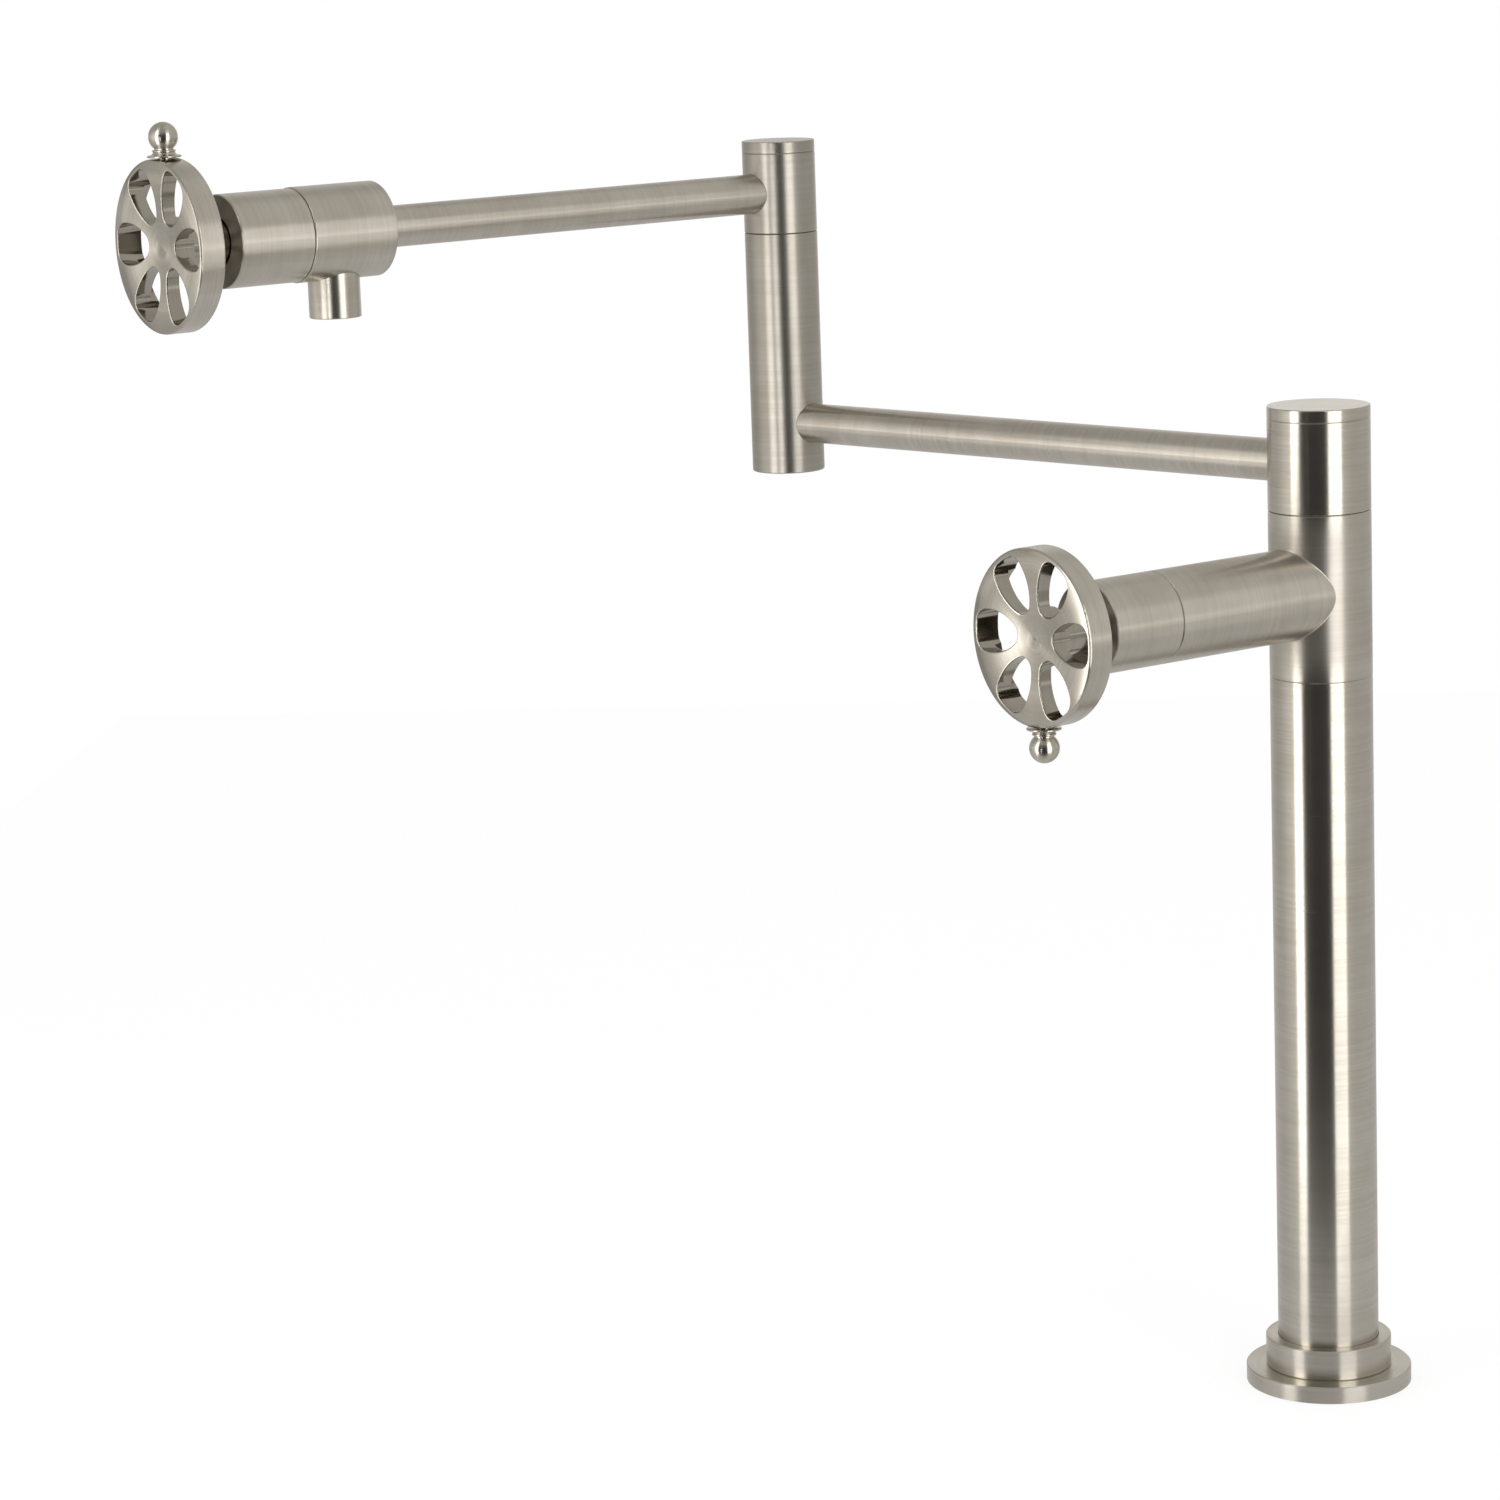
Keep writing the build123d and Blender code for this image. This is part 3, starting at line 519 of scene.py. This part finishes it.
bmesh.ops.recalc_face_normals(thread, faces=thread.faces)
thread_data = bpy.data.meshes.new("socket_thread")
thread.to_mesh(thread_data)
thread.free()
socket_thread = bpy.data.objects.new("socket_thread", thread_data)
scene.collection.objects.link(socket_thread)
thread_data.materials.append(column_brass)
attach(socket_thread, "column")


# Supply tube
# A drawn brass tube inside the riser that carries the water up to the valve body.
dress(column_brass, "supply_tube")


# Riser tube
# The tall pipe of the column, a drawn brass tube brushed round and plated with satin nickel.
dress(column_nickel, "riser_tube")


# Valve body
# One machined brass body: a short drum in line with the riser and the branch that meets it square.
# The drum is brushed round its own axis and the branch round the branch's, then both are plated.
near_enough = 0.00008
column_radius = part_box("riser_tube")[1].x
branch_centre = Vector((0.0, 0.0, middle("column_sleeve").z))
drum, branch = (up, origin), (along_y, branch_centre)
valve_nickel, tree, shader, place = start_material("valve_nickel")
spot = split(tree, place["Object"])
x_squared = calculate(tree, "MULTIPLY", spot["X"], spot["X"])
y_squared = calculate(tree, "MULTIPLY", spot["Y"], spot["Y"])
from_axis = calculate(tree, "SQRT", calculate(tree, "ADD", x_squared, y_squared))
on_branch = calculate(tree, "GREATER_THAN", from_axis, column_radius + near_enough)
marks = use_group(tree, turned_lines, {
    "Vector": blend(tree, "VECTOR", on_branch, centred(tree, place, *drum), centred(tree, place, *branch)),
    "Rings": calculate(tree, "MULTIPLY", on_branch, on_end_face(tree, place, along_y)),
    "Lines per metre": nickel_lines,
})
across_drum, across_branch = across_lines(tree, place, *drum), across_lines(tree, place, *branch)
feed(tree, shader.inputs["Tangent"], blend(tree, "VECTOR", on_branch, across_drum, across_branch))
nickel_finish(tree, shader, marks, rough=0.28, depth=0.0000007)
shader.inputs["Anisotropic"].default_value = 0.85

# The drum is more matt beside the branch, where the buffing wheel can't reach, and the branch all over
matt_reach, drum_gain, branch_gain = (0.018, 0.036), 0.15, 0.06
from_branch = calculate(tree, "ABSOLUTE", calculate(tree, "SUBTRACT", spot["Z"], branch_centre.z))
beside_branch = ramp(tree, from_branch, *matt_reach, drum_gain, 0.0)
rougher = calculate(tree, "MULTIPLY", beside_branch, calculate(tree, "SUBTRACT", 1.0, on_branch))
rougher = calculate(tree, "ADD", rougher, calculate(tree, "MULTIPLY", on_branch, branch_gain))
present = shader.inputs["Roughness"].links[0].from_socket
feed(tree, shader.inputs["Roughness"], calculate(tree, "ADD", present, rougher))
dress(valve_nickel, "valve_body")


# Swivel joint of the column
# A brass post with two rubber seals, low-friction washers and a spring clip; the swivel body turns
# on it under a flat cap.
acetal = moulded(
    "acetal", dark=(0.72, 0.71, 0.67), pale=(0.80, 0.79, 0.75), rough=0.42,
    grain_scale=1500.0, grain_depth=0.00002,
)
spring_steel = machined(
    "spring_steel", up, origin, dark=(0.30, 0.30, 0.31), pale=(0.46, 0.46, 0.47), rough=0.3, lines=2600.0
)
dress(column_brass, "column_post")
dress(rubber, "column_o_rings")
dress(acetal, "column_washers")
dress(spring_steel, "column_retaining_ring")
dress(column_nickel, "column_swivel_body")
dress(brushed("column_cap_nickel", up, origin, flat_ends=True), "column_cap")


# Lower arm tube
# A straight brass pipe, brushed round and nickel plated, soldered into the swivel body and the
# elbow.
def foot_of(node):
    """Point at deck level straight below the middle of a CAD node."""
    above = middle(node)
    return Vector((above.x, above.y, 0.0))


elbow_foot = foot_of("elbow_lower_body")
tube_centre = Vector((0.0, 0.0, middle("lower_arm_tube").z))
lower_arm_nickel = brushed("lower_arm_nickel", elbow_foot.normalized(), tube_centre, rough=0.24, spread=0.8)
dress(lower_arm_nickel, "lower_arm_tube")


# Elbow
# The upright brass body that carries the upper swivel joint: a turned drum with its post, seals,
# washers, clip, swivel body and cap. Its nickel is darkened with painted shade, so that it looks dimmer than
# the column's.
# The tint is painted shade on the elbow's nickel; the roughness and the spread are its finish.
elbow_finish_and_shade = {"rough": 0.35, "spread": 0.68, "tint": 0.76}
elbow_shaded_nickel = brushed("elbow_shaded_nickel", up, elbow_foot, **elbow_finish_and_shade)
elbow_cap_shaded_nickel = brushed("elbow_cap_shaded_nickel", up, elbow_foot, flat_ends=True, **elbow_finish_and_shade)
elbow_brass = machined("elbow_brass", up, elbow_foot, **bare_brass)
dress(elbow_shaded_nickel, "elbow_lower_body", "elbow_swivel_body")
dress(elbow_cap_shaded_nickel, "elbow_cap")
dress(elbow_brass, "elbow_post")
dress(rubber, "elbow_o_rings")
dress(acetal, "elbow_washers")
dress(spring_steel, "elbow_retaining_ring")


# Upper arm tube
# The second pipe, brushed and plated like the first, from the elbow's swivel body into the spout
# body.
valve_finish = {"rough": 0.30, "spread": 0.86, "depth": 0.0000008}
spout_centre = Vector((elbow_foot.x, 0.0, middle("spout_sleeve").z))
spout_nickel = brushed("spout_nickel", along_y, spout_centre, **valve_finish)
dress(spout_nickel, "upper_arm_tube")


# Spout body
# A short barrel turned from brass, brushed and plated, which the arm's pipe enters from behind and
# the outlet leaves below.
dress(spout_nickel, "spout_body")


# Outlet
# A short nickel-plated tube under the spout body with a moulded stream straightener pressed into
# it.
outlet_nickel = brushed("outlet_nickel", up, foot_of("spout_outlet"), rough=0.32, spread=0.75)
straightener_plastic = moulded(
    "straightener_plastic", dark=(0.55, 0.55, 0.53), pale=(0.66, 0.66, 0.64), rough=0.4,
    grain_scale=1500.0, grain_depth=0.00002,
)
dress(outlet_nickel, "spout_outlet")
dress(straightener_plastic, "stream_straightener")


# Cartridges, one in each valve
# Quarter-turn headworks: two lapped ceramic discs in a brass housing, a stem with its O-ring and
# washer, a rubber seal below and a hexagon nut on top.
ceramic = moulded(
    "alumina", dark=(0.78, 0.77, 0.74), pale=(0.86, 0.85, 0.82), rough=0.16,
    grain_scale=3200.0, grain_depth=0.000006,
)
branch_brass = machined("branch_brass", along_y, branch_centre, **bare_brass)
spout_brass = machined("spout_brass", along_y, spout_centre, **bare_brass)
for prefix, brass in (("column", branch_brass), ("spout", spout_brass)):
    dress(rubber, f"{prefix}_outlet_seal", f"{prefix}_stem_o_ring")
    dress(ceramic, f"{prefix}_fixed_disc", f"{prefix}_turning_disc")
    dress(acetal, f"{prefix}_stem_washer")
    dress(brass, f"{prefix}_stem", f"{prefix}_cartridge_housing", f"{prefix}_retaining_nut")


# Sleeves
# Turned brass shells screwed over each body's spigot, which cover the cartridge up to the wheel.
# They are brushed and plated. Their front faces, in the shadow gap behind the wheel, are darkened with
# painted shade and given a duller gloss.
def overlay(tree, mask, tint, rough):
    """Tint the masked faces and give them another gloss."""
    shader = tree.nodes["Principled BSDF"]
    colour, gloss = shader.inputs["Base Color"], shader.inputs["Roughness"]
    tinted = blend(tree, "RGBA", mask, colour.links[0].from_socket, opaque(tint), "MULTIPLY")
    feed(tree, colour, tinted)
    feed(tree, gloss, blend(tree, "FLOAT", mask, gloss.links[0].from_socket, rough))


# Painted shade for the sleeves' front faces, which lie in the wheel's shadow, and their duller roughness
painted_shade_tint, front_face_rough = (0.34, 0.32, 0.29), 0.42
for sleeve, name, centre in (
    ("column_sleeve", "branch_nickel", branch_centre), ("spout_sleeve", "spout_sleeve_nickel", spout_centre)
):
    sleeve_nickel = brushed(name, along_y, centre, **valve_finish)
    tree = sleeve_nickel.node_tree
    spot = split(tree, tree.nodes.new("ShaderNodeTexCoord").outputs["Object"])
    # The front faces get the painted shade and the duller gloss
    on_front = calculate(tree, "LESS_THAN", spot["Y"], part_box(sleeve)[0].y + near_enough)
    overlay(tree, on_front, painted_shade_tint, front_face_rough)
    dress(sleeve_nickel, sleeve)


# Handwheels
# Dished six-opening wheels, cast in brass and plated. Their faces and rims are brushed on the
# lathe, and the walls of the openings stay smooth and a little darker.
rim_margin = 0.0009
wall_tint, wall_rough = (0.72, 0.71, 0.70), 0.11
swell_height, swell_rise, swell_roll = 0.062, 0.33, 0.32


def wheel_nickel(name, centre, rim_radius):
    """Brushed nickel that shades as a dish with a rolled rim, and smooth where it is pierced."""
    material = brushed(name, along_y, centre, rough=0.25, spread=0.80)
    tree = material.node_tree
    place = tree.nodes.new("ShaderNodeTexCoord").outputs
    to_axis = vector_math(tree, "LENGTH", outwards(tree, place, along_y, centre))
    along = calculate(tree, "ABSOLUTE", vector_math(tree, "DOT_PRODUCT", place["Normal"], along_y))
    within = calculate(tree, "LESS_THAN", to_axis, rim_radius - rim_margin)
    wall = calculate(tree, "MULTIPLY", within, ramp(tree, along, 0.15, 0.6, 1.0, 0.0))
    overlay(tree, wall, wall_tint, wall_rough)

    # Height over the dish, on the front alone: it swells to two thirds of the radius and rolls off
    share = calculate(tree, "DIVIDE", to_axis, rim_radius)
    square = calculate(tree, "MULTIPLY", share, share)
    slack = calculate(tree, "SUBTRACT", swell_rise, calculate(tree, "MULTIPLY", share, swell_roll))
    swell = calculate(tree, "MULTIPLY", calculate(tree, "MULTIPLY", square, slack), swell_height)
    forward = vector_math(tree, "DOT_PRODUCT", place["Normal"], -along_y)
    swell = calculate(tree, "MULTIPLY", swell, calculate(tree, "GREATER_THAN", forward, 0.5))
    grooves = tree.nodes["Principled BSDF"].inputs["Normal"].links[0].from_node
    feed(tree, grooves.inputs["Normal"], bump(tree, swell, 1.0, 1.0))
    return material


wheel_low, wheel_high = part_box("column_handwheel")
wheel_radius = (wheel_high.x - wheel_low.x) / 2
dress(wheel_nickel("column_wheel_nickel", branch_centre, wheel_radius), "column_handwheel")
dress(wheel_nickel("spout_wheel_nickel", spout_centre, wheel_radius), "spout_handwheel")


# Ball finials
# Small brass knobs seated in a recess of each rim, turned from bar and finished finer than the
# rest before plating.
for prefix in ("column", "spout"):
    finial = f"{prefix}_finial"
    dress(brushed(f"{finial}_nickel", up, middle(finial), rough=0.25, spread=0.85, depth=0.0000004), finial)


# Set screws
# Headless steel screws with a hexagon socket, blackened, in the boss behind each wheel.
black_steel = machined(
    "black_steel", up, origin, dark=(0.05, 0.05, 0.055), pale=(0.12, 0.12, 0.125), rough=0.35, lines=2600.0
)
dress(black_steel, "column_set_screw", "spout_set_screw")
